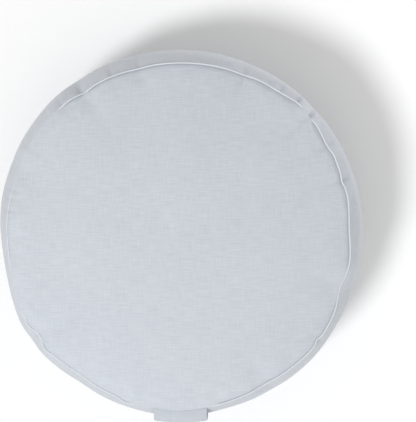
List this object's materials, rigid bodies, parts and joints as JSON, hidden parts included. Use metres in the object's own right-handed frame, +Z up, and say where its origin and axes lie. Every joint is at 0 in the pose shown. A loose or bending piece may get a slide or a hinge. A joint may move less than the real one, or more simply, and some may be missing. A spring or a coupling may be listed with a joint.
{
  "type": "zafu meditation cushion with a carry strap",
  "caption": "Round stuffed floor cushion with a domed top, a swelling side band, welted seams and a flat carry strap on its side.",
  "frame": {"origin": "centre of the flat patch on which the cushion rests, on the floor", "axes": "+Z up through the middle of both round panels; -Y towards the carry strap; +X to the right of the strap seen from above with the strap nearest"},
  "size_m": [0.3457, 0.3596, 0.15],
  "materials": {
    "cover_cloth": "pale blue-grey plain-woven linen and cotton, matt",
    "welt_cloth": "the cover's cloth, folded into a narrow welt",
    "strap_cloth": "the cover's cloth, folded flat and stitched along both edges"
  },
  "bodies": {
    "root": {"cushion": "cover_cloth", "top_welt": "welt_cloth", "bottom_welt": "welt_cloth", "carry_strap": "strap_cloth"}
  },
  "joints": []
}
